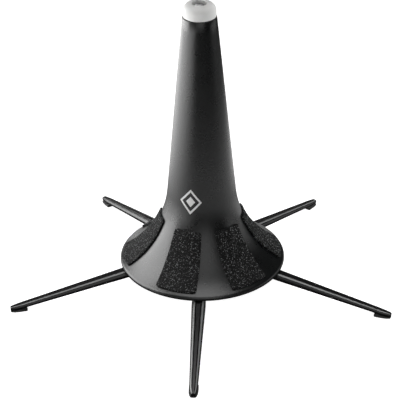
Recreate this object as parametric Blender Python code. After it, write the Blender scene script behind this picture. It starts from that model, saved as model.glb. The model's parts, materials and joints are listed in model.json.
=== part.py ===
"""Trumpet stand: a hollow felt-padded cone on a hub with five folding legs.

Metres, +Z up. The origin is on the floor, under the centre of the stand's box, and the
cone's axis stands at stand_axis. Leg 1 points along -Y and the others follow it round.
"""
import math

import bmesh
import bpy
from mathutils import Matrix

GAP = 0.0003                      # clearance between touching pieces
CONE_STEPS = 64                   # facets round the cone
HUB_STEPS = 48
CAP_STEPS = 36
SMALL_STEPS = 20                  # facets round a screw or a pin
SCREW_STEPS = 14

# Cone: a straight taper that runs into a flare of two arcs, a lip and a short skirt.
CONE_TOP_R = 0.0100
CONE_TOP_Z = 0.1778
TAPER = math.radians(5.38)        # half angle of the straight part
FLARE_START_Z = 0.0654
UPPER_ARC_R = 0.0602
ARC_CHANGE = math.radians(39.5)   # angle from the vertical where the lower arc takes over
LOWER_ARC_R = 0.0500
RIM_R = 0.0500
RIM_Z = 0.0179                    # lower edge of the skirt
LIP_R = 0.0018                    # rounding of the lip
WALL = 0.0022
POST_R = 0.0048                   # screw post inside the nose
POST_LENGTH = 0.016
SCREW_HOLE_R = 0.0018

# Socket: the tube inside the cone that takes the hub's collar.
HUB_R = 0.0199
SOCKET_R = HUB_R + GAP
SOCKET_WALL = 0.0018
SOCKET_BOTTOM_Z = 0.0268
HUB_TOP_Z = 0.036
SOCKET_LEDGE = 0.0014             # step that rests on the collar
RIB_COUNT = 10
RIB_WIDTH = 0.0014

# Cap
CAP_R = 0.0097
CAP_HEIGHT = 0.0076
CAP_SHOULDER = 0.0042
CAP_HOLE_R = 0.0042
CAP_RECESS = 0.0034

# Felt pads
PAD_COUNT = 6
PAD_FIRST = math.radians(-110)
PAD_DRIFT = (2.4, 0.1, -2.5, 0.0, 0.0, -2.6)   # degrees; they are stuck on by hand
PAD_TOP_Z = 0.0500
PAD_BOTTOM_Z = 0.0224
PAD_TOP_WIDTH = 0.0172
PAD_BOTTOM_WIDTH = 0.0262
PAD_THICK = 0.0012
PAD_CORNER = 0.0016

# Legs, measured from the cone's axis
LEG_COUNT = 5
LEG_FIRST = math.radians(-90)
PIVOT_R = 0.0145
PIVOT_Z = 0.0214
LEG_TIP_R = 0.1198
LEG_TOP_AT_RIM = 0.0170           # height of the back at the rim's radius
LEG_TOP_SLOPE = 0.1986
LEG_UNDER_AT_RIM = 0.0122
LEG_UNDER_SLOPE = 0.168
LEG_ROOT_WIDTH = 0.0070
LEG_MAX_WIDTH = 0.0085
LEG_TIP_WIDTH = 0.0048
KNUCKLE_R = 0.0032
PIN_R = 0.00125
PIN_LENGTH = 0.0126
FOOT_LENGTH = 0.0100
FOOT_WIDTH = 0.0056
FOOT_CORNER = 0.0009              # chamfer of the foot's outer corners, in plan

# Hub
HUB_BOTTOM_Z = 0.0148
HUB_SPLIT_Z = 0.0232              # joint between the two halves
COLLAR_FLOOR_Z = 0.0285
COLLAR_WALL = 0.0022
SLOT_WIDTH = LEG_ROOT_WIDTH + 2 * GAP
SLOT_INNER_R = 0.0105
HUB_SCREW_PCR = 0.0158            # radius of the screws' circle
HUB_SCREW_R = 0.0010
HUB_SCREW_HEAD_R = 0.0019
HUB_SCREW_HEAD = 0.0012


def clear_scene():
    for item in list(bpy.data.objects):
        bpy.data.objects.remove(item, do_unlink=True)


def plastic(name, color, roughness, metallic=0.0):
    material = bpy.data.materials.new(name)
    material.use_nodes = True
    shader = material.node_tree.nodes["Principled BSDF"]
    shader.inputs["Base Color"].default_value = (*color, 1.0)
    shader.inputs["Roughness"].default_value = roughness
    shader.inputs["Metallic"].default_value = metallic
    return material


def add_object(name, mesh_builder, material=None, parent=None):
    """Turn a bmesh into an object, with its faces pointing out."""
    bmesh.ops.recalc_face_normals(mesh_builder, faces=mesh_builder.faces)
    mesh = bpy.data.meshes.new(name)
    mesh_builder.to_mesh(mesh)
    mesh_builder.free()
    item = bpy.data.objects.new(name, mesh)
    bpy.context.scene.collection.objects.link(item)
    if material:
        mesh.materials.append(material)
    if parent:
        item.parent = parent
    return item


def smooth(item, degrees=32):
    item.data.shade_smooth()
    item.data.set_sharp_from_angle(angle=math.radians(degrees))


def turned(outline, steps):
    """Spin a closed outline of (radius, height) points about the Z axis."""
    builder = bmesh.new()
    points = [builder.verts.new((radius, 0.0, height)) for radius, height in outline]
    edges = [builder.edges.new((points[i - 1], points[i])) for i in range(len(points))
             if not (points[i - 1].co.x == 0.0 and points[i].co.x == 0.0)]
    bmesh.ops.spin(builder, geom=points + edges, cent=(0, 0, 0), axis=(0, 0, 1),
                   angle=math.tau, steps=steps, use_merge=True)
    bmesh.ops.remove_doubles(builder, verts=builder.verts, dist=1e-6)
    return builder


def prism(outline, width):
    """Extrude an outline of (x, z) points across Y, centred on Y = 0."""
    builder = bmesh.new()
    near = [builder.verts.new((x, -width / 2, z)) for x, z in outline]
    far = [builder.verts.new((x, width / 2, z)) for x, z in outline]
    builder.faces.new(near)
    builder.faces.new(reversed(far))
    for i in range(len(outline)):
        builder.faces.new((near[i - 1], near[i], far[i], far[i - 1]))
    return builder


def rod(radius, length, steps, axis="Z"):
    builder = bmesh.new()
    bmesh.ops.create_cone(builder, cap_ends=True, segments=steps, radius1=radius, radius2=radius,
                          depth=length)
    if axis == "Y":
        bmesh.ops.rotate(builder, verts=builder.verts, matrix=Matrix.Rotation(math.pi / 2, 3, "X"))
    return builder


def move(builder, offset=(0, 0, 0), turn=0.0):
    matrix = Matrix.Rotation(turn, 4, "Z") @ Matrix.Translation(offset)
    bmesh.ops.transform(builder, matrix=matrix, verts=builder.verts)
    return builder


def boolean(item, operation, builder, name):
    """Join or cut item with a guide solid that is left out of the model."""
    guide = add_object(name, builder, parent=item.parent)
    guide.matrix_basis = item.matrix_basis
    guide.hide_render = True
    guide.display_type = "WIRE"
    modifier = item.modifiers.new(name, "BOOLEAN")
    modifier.operation = operation
    modifier.solver = "EXACT"
    modifier.object = guide
    return modifier


def joined(builders):
    """Put several closed solids that don't touch into one bmesh."""
    whole = bmesh.new()
    for builder in builders:
        mesh = bpy.data.meshes.new("part")
        bmesh.ops.recalc_face_normals(builder, faces=builder.faces)
        builder.to_mesh(mesh)
        builder.free()
        whole.from_mesh(mesh)
        bpy.data.meshes.remove(mesh)
    return whole


def arc(centre, radius, start, end, steps):
    """Points on an arc, angles in radians from +X towards +Z."""
    return [(centre[0] + radius * math.cos(start + (end - start) * i / steps),
             centre[1] + radius * math.sin(start + (end - start) * i / steps))
            for i in range(steps + 1)]


def flare_centres():
    """Centres of the two arcs, and the angle at which the lower one meets the rounded lip."""
    start_r = CONE_TOP_R + (CONE_TOP_Z - FLARE_START_Z) * math.tan(TAPER)
    upper = (start_r + UPPER_ARC_R * math.cos(TAPER),
             FLARE_START_Z + UPPER_ARC_R * math.sin(TAPER))
    shift = UPPER_ARC_R - LOWER_ARC_R
    lower = (upper[0] - shift * math.cos(ARC_CHANGE), upper[1] - shift * math.sin(ARC_CHANGE))
    flare_end = math.acos((lower[0] + LIP_R - RIM_R) / (LOWER_ARC_R + LIP_R))
    return upper, lower, flare_end


def cone_side(offset=0.0, upper_steps=6, lower_steps=6):
    """The cone's side from its top edge to the end of the flare, moved out by offset."""
    upper, lower, flare_end = flare_centres()
    top = (CONE_TOP_R + offset * math.cos(TAPER), CONE_TOP_Z + offset * math.sin(TAPER))
    side = [top]
    side += arc(upper, UPPER_ARC_R - offset, math.pi + TAPER, math.pi + ARC_CHANGE, upper_steps)
    side += arc(lower, LOWER_ARC_R - offset, math.pi + ARC_CHANGE, math.pi + flare_end,
                lower_steps)[1:]
    return side


def side_radius(side, height):
    """Radius of the side at a height, by straight lines between its points."""
    for (r_a, z_a), (r_b, z_b) in zip(side, side[1:]):
        if z_b <= height <= z_a:
            return r_a + (r_b - r_a) * (z_a - height) / (z_a - z_b)
    return side[0][0] if height > side[0][1] else side[-1][0]


def make_cone(parent, material):
    outer = cone_side(upper_steps=6, lower_steps=8)
    flare_end = flare_centres()[2]
    lip_centre = (RIM_R - LIP_R, outer[-1][1] - LIP_R * math.sin(flare_end))
    lip = arc(lip_centre, LIP_R, flare_end, 0.0, 4)
    outer = outer[:-1] + lip + [(RIM_R, RIM_Z + 0.0004), (RIM_R - 0.0004, RIM_Z)]

    inner = cone_side(-WALL, upper_steps=4, lower_steps=4)
    socket_outer = SOCKET_R + SOCKET_WALL
    ledge_r = SOCKET_R - SOCKET_LEDGE
    skirt = [p for p in inner[1:] if p[0] > socket_outer + 0.0008]
    bore = [p for p in inner[1:] if p[0] < ledge_r - 0.0004]
    join_z = next(z for z in (0.07 - i * 0.0002 for i in range(200))
                  if side_radius(inner, z) > socket_outer)
    ledge_z = next(z for z in (0.07 - i * 0.0002 for i in range(200))
                   if side_radius(inner, z) > ledge_r)
    ceiling = CONE_TOP_Z - 0.0035
    outline = outer
    outline += [(RIM_R - WALL, RIM_Z)]
    outline += list(reversed(skirt))
    outline += [(socket_outer, join_z), (socket_outer, SOCKET_BOTTOM_Z),
                (SOCKET_R, SOCKET_BOTTOM_Z), (SOCKET_R, HUB_TOP_Z + GAP),
                (ledge_r, HUB_TOP_Z + GAP), (ledge_r, ledge_z)]
    outline += list(reversed(bore))
    outline += [(side_radius(inner, ceiling), ceiling), (POST_R, ceiling),
                (POST_R, CONE_TOP_Z - POST_LENGTH), (SCREW_HOLE_R, CONE_TOP_Z - POST_LENGTH),
                (SCREW_HOLE_R, CONE_TOP_Z)]
    shell = add_object("cone_shell", turned(outline, CONE_STEPS), material, parent)

    rib_top = join_z - 0.0005
    rib_low = SOCKET_BOTTOM_Z + 0.0006
    middle = cone_side(-WALL / 2)
    rib_outline = [(socket_outer - SOCKET_WALL / 2, rib_low),
                   (side_radius(middle, rib_low), rib_low)]
    rib_outline += [(r, z) for r, z in reversed(middle)
                    if rib_low + 0.0005 < z < rib_top - 0.0005]
    rib_outline += [(side_radius(middle, rib_top), rib_top), (socket_outer - SOCKET_WALL / 2, rib_top)]
    ribs = joined([move(prism(rib_outline, RIB_WIDTH), turn=LEG_FIRST + math.tau * (i + 0.5) / RIB_COUNT)
                   for i in range(RIB_COUNT)])
    boolean(shell, "UNION", ribs, "guide_ribs")
    smooth(shell)


def make_cap(parent, white, steel):
    low = CONE_TOP_Z + GAP
    high = low + CAP_HEIGHT
    recess = high - CAP_RECESS
    shoulder = arc((CAP_R - CAP_SHOULDER, high - CAP_SHOULDER), CAP_SHOULDER, math.pi / 2, 0.0, 6)
    outline = [(CAP_HOLE_R, high - 0.0004), (CAP_HOLE_R + 0.0004, high)] + shoulder
    outline += [(CAP_R, low + 0.0003), (CAP_R - 0.0003, low), (SCREW_HOLE_R + GAP, low),
                (SCREW_HOLE_R + GAP, recess), (CAP_HOLE_R, recess)]
    smooth(add_object("top_cap", turned(outline, CAP_STEPS), white, parent))

    washer_low = recess + GAP
    washer_high = washer_low + 0.0006
    washer = [(SCREW_HOLE_R + GAP, washer_high), (0.0038, washer_high), (0.0038, washer_low),
              (SCREW_HOLE_R + GAP, washer_low)]
    smooth(add_object("cap_washer", turned(washer, SMALL_STEPS), steel, parent))

    head_low = washer_high + GAP
    shank = SCREW_HOLE_R - GAP
    tip = CONE_TOP_Z - POST_LENGTH + 0.0015
    screw = [(0.0, head_low + 0.0011), (0.0009, head_low + 0.0011), (0.0009, head_low + 0.0018),
             (0.0016, head_low + 0.0017), (0.0027, head_low + 0.0012), (0.0032, head_low + 0.0004),
             (0.0032, head_low), (shank, head_low), (shank, tip + 0.0015), (0.0, tip)]
    smooth(add_object("cap_screw", turned(screw, SMALL_STEPS), steel, parent))


def along(side, first_z, last_z, count):
    """Points at equal steps of arc length along the side, between two heights."""
    fine = [(side_radius(side, first_z + (last_z - first_z) * i / 200),
             first_z + (last_z - first_z) * i / 200) for i in range(201)]
    lengths = [0.0]
    for a, b in zip(fine, fine[1:]):
        lengths.append(lengths[-1] + math.dist(a, b))
    points = []
    for step in range(count + 1):
        wanted = lengths[-1] * step / count
        nearest = min(range(201), key=lambda i: abs(lengths[i] - wanted))
        points.append(fine[nearest])
    return points


def make_pad(index, parent, felt):
    """A felt trapezoid bent onto the flare, clear of it by GAP."""
    columns, rows = 6, 9
    turn = PAD_FIRST + index * math.tau / PAD_COUNT + math.radians(PAD_DRIFT[index])
    skins = [cone_side(GAP, 10, 12), cone_side(GAP + PAD_THICK, 10, 12)]
    builder = bmesh.new()
    grids = []
    for skin in skins:
        grid = []
        for j, (radius, height) in enumerate(along(skin, PAD_TOP_Z, PAD_BOTTOM_Z, rows)):
            down = j / rows
            width = PAD_TOP_WIDTH + (PAD_BOTTOM_WIDTH - PAD_TOP_WIDTH) * down
            if j in (0, rows):
                width -= 2 * PAD_CORNER * 0.6
            line = []
            for i in range(columns + 1):
                angle = turn + width * (i / columns - 0.5) / radius
                line.append(builder.verts.new((radius * math.cos(angle), radius * math.sin(angle),
                                               height)))
            grid.append(line)
        grids.append(grid)
    for grid in grids:
        for j in range(rows):
            for i in range(columns):
                builder.faces.new((grid[j][i], grid[j][i + 1], grid[j + 1][i + 1], grid[j + 1][i]))
    inside, outside = grids
    border = [(0, i) for i in range(columns)] + [(j, columns) for j in range(rows)]
    border += [(rows, i) for i in range(columns, 0, -1)] + [(j, 0) for j in range(rows, 0, -1)]
    for (j_a, i_a), (j_b, i_b) in zip(border, border[1:] + border[:1]):
        builder.faces.new((inside[j_a][i_a], inside[j_b][i_b], outside[j_b][i_b],
                           outside[j_a][i_a]))
    smooth(add_object(f"felt_pad_{index + 1}", builder, felt, parent), 50)


def leg_back(radius):
    return LEG_TOP_AT_RIM - LEG_TOP_SLOPE * (radius - RIM_R)


def leg_under(radius):
    return LEG_UNDER_AT_RIM - LEG_UNDER_SLOPE * (radius - RIM_R)


def leg_width(radius):
    narrow = PIVOT_R + 0.010
    if radius <= narrow:
        return LEG_ROOT_WIDTH
    if radius <= RIM_R:
        return LEG_ROOT_WIDTH + (LEG_MAX_WIDTH - LEG_ROOT_WIDTH) * (radius - narrow) / (RIM_R - narrow)
    return LEG_MAX_WIDTH + (LEG_TIP_WIDTH - LEG_MAX_WIDTH) * (radius - RIM_R) / (LEG_TIP_R - RIM_R)


# Half of the leg's arched section, from its underside to its back, as shares of the width
# and the depth.
LEG_HALF_SECTION = ((0.34, 0.0), (0.46, 0.36), (0.50, 0.66), (0.44, 0.82), (0.24, 1.0))


def leg_section(radius):
    width, low, high = leg_width(radius), leg_under(radius), leg_back(radius)
    half = [(across * width, low + up * (high - low)) for across, up in LEG_HALF_SECTION]
    return half + [(-y, z) for y, z in reversed(half)]


def leg_mesh():
    """Loft the leg along its length, in the pivot's own frame (X outwards, Y along the pin)."""
    stations = [PIVOT_R + 0.0006, PIVOT_R + 0.010, 0.035, RIM_R, 0.075, 0.100, LEG_TIP_R - 0.0008,
                LEG_TIP_R]
    builder = bmesh.new()
    rings = []
    for number, radius in enumerate(stations):
        section = leg_section(radius)
        shrink = 0.86 if number == len(stations) - 1 else 1.0
        middle = (leg_back(radius) + leg_under(radius)) / 2
        rings.append([builder.verts.new((radius - PIVOT_R, y * shrink,
                                         middle + (z - middle) * shrink - PIVOT_Z))
                      for y, z in section])
    for ring_a, ring_b in zip(rings, rings[1:]):
        for i in range(len(ring_a)):
            builder.faces.new((ring_a[i - 1], ring_a[i], ring_b[i], ring_b[i - 1]))
    builder.faces.new(rings[0])
    builder.faces.new(rings[-1])
    return builder


def foot_mesh():
    """A rubber wedge between the floor and the leg's sloping underside."""
    half, inner_r = FOOT_WIDTH / 2, LEG_TIP_R - FOOT_LENGTH
    plan = [(inner_r, -half), (LEG_TIP_R - FOOT_CORNER, -half), (LEG_TIP_R, FOOT_CORNER - half),
            (LEG_TIP_R, half - FOOT_CORNER), (LEG_TIP_R - FOOT_CORNER, half), (inner_r, half)]
    builder = bmesh.new()
    floor = [builder.verts.new((r - PIVOT_R, y, -PIVOT_Z)) for r, y in plan]
    top = [builder.verts.new((r - PIVOT_R, y, leg_under(r) - GAP - PIVOT_Z)) for r, y in plan]
    builder.faces.new(floor)
    builder.faces.new(top)
    for i in range(len(plan)):
        builder.faces.new((floor[i - 1], floor[i], top[i], top[i - 1]))
    return builder


def make_leg(number, stand, black, rubber, steel):
    angle = LEG_FIRST + number * math.tau / LEG_COUNT
    pivot = bpy.data.objects.new(f"leg_axis_{number + 1}", None)
    bpy.context.scene.collection.objects.link(pivot)
    pivot.parent = stand
    pivot.location = (PIVOT_R * math.cos(angle), PIVOT_R * math.sin(angle), PIVOT_Z)
    pivot.rotation_euler = (0, 0, angle)

    leg = add_object(f"leg_{number + 1}", leg_mesh(), black, pivot)
    boolean(leg, "UNION", rod(KNUCKLE_R, LEG_ROOT_WIDTH, 28, "Y"), f"guide_knuckle_{number + 1}")
    boolean(leg, "DIFFERENCE", rod(PIN_R + GAP, 0.012, SMALL_STEPS, "Y"), f"guide_bore_{number + 1}")
    smooth(leg)

    pin = rod(PIN_R, PIN_LENGTH, SMALL_STEPS, "Y")
    smooth(add_object(f"hinge_pin_{number + 1}", pin, steel, pivot))

    smooth(add_object(f"foot_{number + 1}", foot_mesh(), rubber, pivot))


def slot_outline():
    """Side view of the room that a leg needs to swing down from its stop."""
    roof = leg_back(PIVOT_R) + GAP
    out = HUB_R + 0.003
    return [(SLOT_INNER_R, HUB_BOTTOM_Z - 0.002), (out, HUB_BOTTOM_Z - 0.002),
            (out, leg_back(out) + GAP), (PIVOT_R + 0.001, roof + 0.0003),
            (PIVOT_R, PIVOT_Z + KNUCKLE_R + GAP), (PIVOT_R - 0.0018, PIVOT_Z + KNUCKLE_R + GAP),
            (SLOT_INNER_R, HUB_SPLIT_Z - 0.0004)]


def around(builder_maker, count, first):
    return joined([move(builder_maker(), turn=first + i * math.tau / count) for i in range(count)])


def make_hub(parent, black, steel):
    edge = 0.0006
    between = LEG_FIRST + math.pi / LEG_COUNT
    body = [(0.0, HUB_SPLIT_Z), (HUB_R, HUB_SPLIT_Z), (HUB_R, HUB_BOTTOM_Z + edge),
            (HUB_R - edge, HUB_BOTTOM_Z), (0.0, HUB_BOTTOM_Z)]
    hub = add_object("leg_hub", turned(body, HUB_STEPS), black, parent)
    boolean(hub, "DIFFERENCE", around(lambda: prism(slot_outline(), SLOT_WIDTH), LEG_COUNT, LEG_FIRST),
            "guide_slots")
    channel_r = PIN_R + GAP
    channel = [(PIVOT_R - channel_r, HUB_SPLIT_Z + 0.002)]
    channel += arc((PIVOT_R, PIVOT_Z), channel_r, math.pi, math.tau, 12)
    channel += [(PIVOT_R + channel_r, HUB_SPLIT_Z + 0.002)]
    boolean(hub, "DIFFERENCE",
            around(lambda: prism(channel, PIN_LENGTH + 2 * GAP), LEG_COUNT, LEG_FIRST), "guide_channels")
    hole_r = HUB_SCREW_R + GAP
    boolean(hub, "DIFFERENCE",
            around(lambda: move(rod(hole_r, 0.012, SCREW_STEPS), (HUB_SCREW_PCR, 0, HUB_SPLIT_Z)), LEG_COUNT,
                   between), "guide_hub_holes")
    smooth(hub)

    low = HUB_SPLIT_Z + GAP
    recess_r = HUB_R - COLLAR_WALL
    cup = [(0.0, COLLAR_FLOOR_Z), (recess_r, COLLAR_FLOOR_Z), (recess_r, HUB_TOP_Z - 0.0003),
           (recess_r + 0.0003, HUB_TOP_Z), (HUB_R - edge, HUB_TOP_Z), (HUB_R, HUB_TOP_Z - edge),
           (HUB_R, low), (0.0, low)]
    collar = add_object("hub_collar", turned(cup, HUB_STEPS), black, parent)
    boolean(collar, "DIFFERENCE",
            around(lambda: prism(slot_outline(), SLOT_WIDTH), LEG_COUNT, LEG_FIRST), "guide_roofs")
    boolean(collar, "DIFFERENCE",
            around(lambda: move(rod(hole_r, 0.02, SCREW_STEPS), (HUB_SCREW_PCR, 0, HUB_SPLIT_Z)), LEG_COUNT,
                   between), "guide_collar_holes")
    smooth(collar)

    head_low = COLLAR_FLOOR_Z + GAP
    tip = HUB_SPLIT_Z - 0.0052
    screw = [(0.0, head_low + HUB_SCREW_HEAD), (HUB_SCREW_HEAD_R * 0.7, head_low + HUB_SCREW_HEAD),
             (HUB_SCREW_HEAD_R, head_low + HUB_SCREW_HEAD * 0.5), (HUB_SCREW_HEAD_R, head_low),
             (HUB_SCREW_R, head_low), (HUB_SCREW_R, tip + 0.001), (0.0, tip)]
    for number in range(LEG_COUNT):
        placed = move(turned(screw, SCREW_STEPS), (HUB_SCREW_PCR, 0, 0), between + number * math.tau / LEG_COUNT)
        smooth(add_object(f"hub_screw_{number + 1}", placed, steel, parent))


def centre_on_origin(stand):
    """Slide the stand in X and Y until the middle of its box is at the origin."""
    bpy.context.view_layer.update()
    graph = bpy.context.evaluated_depsgraph_get()
    points = []
    for item in bpy.data.objects:
        if item.type == "MESH" and not item.hide_render:
            solid = item.evaluated_get(graph)
            points += [solid.matrix_world @ corner.co for corner in solid.data.vertices]
    for side in (0, 1):
        values = [point[side] for point in points]
        stand.location[side] -= (min(values) + max(values)) / 2


clear_scene()
black_plastic = plastic("black_plastic", (0.020, 0.022, 0.022), 0.42)
leg_plastic = plastic("leg_plastic", (0.012, 0.012, 0.013), 0.32)
white_plastic = plastic("white_plastic", (0.86, 0.86, 0.85), 0.38)
black_felt = plastic("black_felt", (0.012, 0.013, 0.013), 0.95)
black_rubber = plastic("black_rubber", (0.02, 0.02, 0.02), 0.8)
zinc_steel = plastic("zinc_steel", (0.55, 0.55, 0.54), 0.35, 1.0)

stand_axis = bpy.data.objects.new("stand_axis", None)
bpy.context.scene.collection.objects.link(stand_axis)
make_cone(stand_axis, black_plastic)
make_cap(stand_axis, white_plastic, zinc_steel)
for pad_index in range(PAD_COUNT):
    make_pad(pad_index, stand_axis, black_felt)
make_hub(stand_axis, leg_plastic, zinc_steel)
for leg_number in range(LEG_COUNT):
    make_leg(leg_number, stand_axis, leg_plastic, black_rubber, zinc_steel)
centre_on_origin(stand_axis)
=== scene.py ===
"""The looks of a trumpet stand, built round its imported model.

The file follows the stand as it is put together: hub, hinge pins, collar, screws, legs,
feet, cone, print, felt, cap and the cap's screw. The studio comes first.
"""
import json
import math
import random

import bmesh
import bpy
from mathutils import Matrix, Vector, noise
from mathutils.bvhtree import BVHTree


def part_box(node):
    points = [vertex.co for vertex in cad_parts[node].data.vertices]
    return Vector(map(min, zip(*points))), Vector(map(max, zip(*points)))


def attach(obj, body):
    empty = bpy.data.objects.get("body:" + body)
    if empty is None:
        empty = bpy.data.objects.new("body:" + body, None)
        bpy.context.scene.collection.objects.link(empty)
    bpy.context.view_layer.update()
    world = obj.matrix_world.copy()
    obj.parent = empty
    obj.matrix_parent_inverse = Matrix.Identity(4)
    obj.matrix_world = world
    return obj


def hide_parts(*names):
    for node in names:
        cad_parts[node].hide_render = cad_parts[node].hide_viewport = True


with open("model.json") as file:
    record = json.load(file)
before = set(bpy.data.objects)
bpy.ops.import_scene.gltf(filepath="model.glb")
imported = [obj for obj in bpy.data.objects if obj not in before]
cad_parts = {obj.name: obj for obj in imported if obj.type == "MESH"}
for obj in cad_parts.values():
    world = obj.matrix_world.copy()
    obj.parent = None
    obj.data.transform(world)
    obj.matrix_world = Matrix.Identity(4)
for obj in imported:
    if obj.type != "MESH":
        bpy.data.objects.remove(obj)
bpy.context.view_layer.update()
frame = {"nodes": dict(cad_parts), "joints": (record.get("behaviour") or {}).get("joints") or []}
nodes = frame["nodes"]


# ---------------------------------------------------------------------------- studio
# The stand is on a plain white floor. Soft panels light it from the left, from above, from
# the front and low from the right. Reflections see a dark floor that glows on the left.
CAMERA_LENS, SENSOR_WIDTH = 150.45, 36.0                # millimetres
CAMERA_PLACE = Vector((0.0444, -0.8669, 0.5622))        # from the foot of the cone's axis
CAMERA_TILT = (59.83, 0.62, 2.64)                       # degrees
PANEL_TARGET = Vector((0.0, 0.0, 0.10))
FLOOR_RADIUS, FLOOR_DROP = 6.0, 0.0001                  # the drop keeps the soles above it
FLOOR_SEEN, FLOOR_UNSEEN = 0.9, 0.06                    # paleness to the camera and to other rays

cone_low, cone_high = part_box("cone_shell")
axis = Vector(((cone_low.x + cone_high.x) / 2, (cone_low.y + cone_high.y) / 2, 0.0))


def shader_node(tree, kind, **settings):
    """Add a node; settings named after its inputs are put on them."""
    added = tree.nodes.new(kind)
    for name, value in settings.items():
        if hasattr(added, name) and name not in added.inputs:
            setattr(added, name, value)
        else:
            added.inputs[name.replace("_", " ")].default_value = value
    return added


scene = bpy.context.scene
scene.view_settings.view_transform = "Standard"

camera_data = bpy.data.cameras.new("camera")
camera_data.sensor_width = SENSOR_WIDTH
camera_data.lens = CAMERA_LENS
camera = bpy.data.objects.new("camera", camera_data)
scene.collection.objects.link(camera)
camera.location = axis + CAMERA_PLACE
camera.rotation_euler = [math.radians(angle) for angle in CAMERA_TILT]
scene.camera = camera


def soft_panel(name, place, size, shine, fill):
    """A rectangular soft panel: its radiance in reflections, and in the light it casts."""
    for part, radiance in (("shine", shine), ("fill", fill)):
        light = bpy.data.lights.new(f"{name}_{part}", "AREA")
        light.shape = "RECTANGLE"
        light.size, light.size_y = size
        light.energy = radiance * math.pi * size[0] * size[1]
        lamp = bpy.data.objects.new(light.name, light)
        lamp.visible_camera = False
        lamp.visible_diffuse = part == "fill"
        lamp.visible_glossy = part == "shine"
        scene.collection.objects.link(lamp)
        lamp.location = axis + Vector(place)
        lamp.rotation_euler = (PANEL_TARGET - Vector(place)).to_track_quat("-Z", "Y").to_euler()


soft_panel("panel_left", (-0.70, 0.10, 0.40), (0.85, 1.05), 7.0, 1.0)
soft_panel("panel_right", (0.80, 0.10, 0.06), (0.7, 0.25), 1.2, 11.0)
soft_panel("panel_top", (0.0, 0.06, 0.95), (0.6, 0.8), 3.6, 4.5)
soft_panel("panel_front", (0.15, -1.05, 0.80), (1.0, 1.3), 1.2, 0.6)

world = bpy.data.worlds.new("studio_air")
scene.world = world
world.use_nodes = True
air = world.node_tree
background = air.nodes["Background"]
ray = shader_node(air, "ShaderNodeLightPath")
shade = shader_node(air, "ShaderNodeMapRange", To_Min=0.05, To_Max=1.0)
air.links.new(ray.outputs["Is Camera Ray"], shade.inputs["Value"])
air.links.new(shade.outputs["Result"], background.inputs["Strength"])
background.inputs["Color"].default_value = (1.0, 1.0, 1.0, 1.0)

floor_mesh = bmesh.new()
bmesh.ops.create_circle(floor_mesh, cap_ends=True, segments=96, radius=FLOOR_RADIUS)
floor_data = bpy.data.meshes.new("floor")
floor_mesh.to_mesh(floor_data)
floor_mesh.free()
floor = bpy.data.objects.new("floor", floor_data)
floor.location = axis - Vector((0.0, 0.0, FLOOR_DROP))
scene.collection.objects.link(floor)
paper = bpy.data.materials.new("floor_paper")
paper.use_nodes = True
floor_data.materials.append(paper)
tree = paper.node_tree
shader = tree.nodes["Principled BSDF"]
shader.inputs["Roughness"].default_value = 0.9
shader.inputs["Emission Color"].default_value = (1.0, 1.0, 1.0, 1.0)
ray = shader_node(tree, "ShaderNodeLightPath")
place = shader_node(tree, "ShaderNodeTexCoord")
# A broad glow to the left, and a fainter ring of light just beyond the feet.
leftward = shader_node(tree, "ShaderNodeVectorMath", operation="DOT_PRODUCT")
leftward.inputs[1].default_value = (-0.95, 0.24, 0.0)
left = shader_node(tree, "ShaderNodeMapRange", interpolation_type="SMOOTHSTEP",
                   From_Min=0.12, From_Max=0.36, To_Min=0.0, To_Max=3.9)
distance = shader_node(tree, "ShaderNodeVectorMath", operation="LENGTH")
near = shader_node(tree, "ShaderNodeMapRange", interpolation_type="SMOOTHSTEP",
                   From_Min=0.16, From_Max=0.38, To_Min=1.25, To_Max=0.01)
clear = shader_node(tree, "ShaderNodeMapRange", interpolation_type="SMOOTHSTEP",
                    From_Min=0.12, From_Max=0.18)
ring = shader_node(tree, "ShaderNodeMath", operation="MULTIPLY")
sheet = shader_node(tree, "ShaderNodeMath", operation="ADD")
paleness = shader_node(tree, "ShaderNodeMapRange", To_Min=FLOOR_UNSEEN, To_Max=FLOOR_SEEN)
glow = shader_node(tree, "ShaderNodeMix", data_type="FLOAT")
glow.inputs["B"].default_value = 0.94
for start, end in (
    (place.outputs["Object"], leftward.inputs[0]), (leftward.outputs["Value"], left.inputs["Value"]),
    (place.outputs["Object"], distance.inputs[0]), (distance.outputs["Value"], near.inputs["Value"]),
    (distance.outputs["Value"], clear.inputs["Value"]), (near.outputs["Result"], ring.inputs[0]),
    (clear.outputs["Result"], ring.inputs[1]), (left.outputs["Result"], sheet.inputs[0]),
    (ring.outputs["Value"], sheet.inputs[1]), (ray.outputs["Is Camera Ray"], paleness.inputs["Value"]),
    (paleness.outputs["Result"], shader.inputs["Base Color"]),
    (ray.outputs["Is Camera Ray"], glow.inputs["Factor"]), (sheet.outputs["Value"], glow.inputs["A"]),
    (glow.outputs["Result"], shader.inputs["Emission Strength"]),
):
    tree.links.new(start, end)


# ---------------------------------------------------------------------------- hub
# The lower hub half is moulded in black glass-filled plastic, with five forks for the legs
# and open channels for their pins. Its skin has the fine grain of a spark-eroded mould.
def node_group(name, inputs, outputs):
    """Start a shader group with named number inputs and named number outputs."""
    group = bpy.data.node_groups.new(name, "ShaderNodeTree")
    for title, value in inputs.items():
        socket = group.interface.new_socket(title, in_out="INPUT", socket_type="NodeSocketFloat")
        socket.default_value = value
    for title in outputs:
        group.interface.new_socket(title, in_out="OUTPUT", socket_type="NodeSocketFloat")
    return group, group.nodes.new("NodeGroupInput"), group.nodes.new("NodeGroupOutput")


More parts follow.
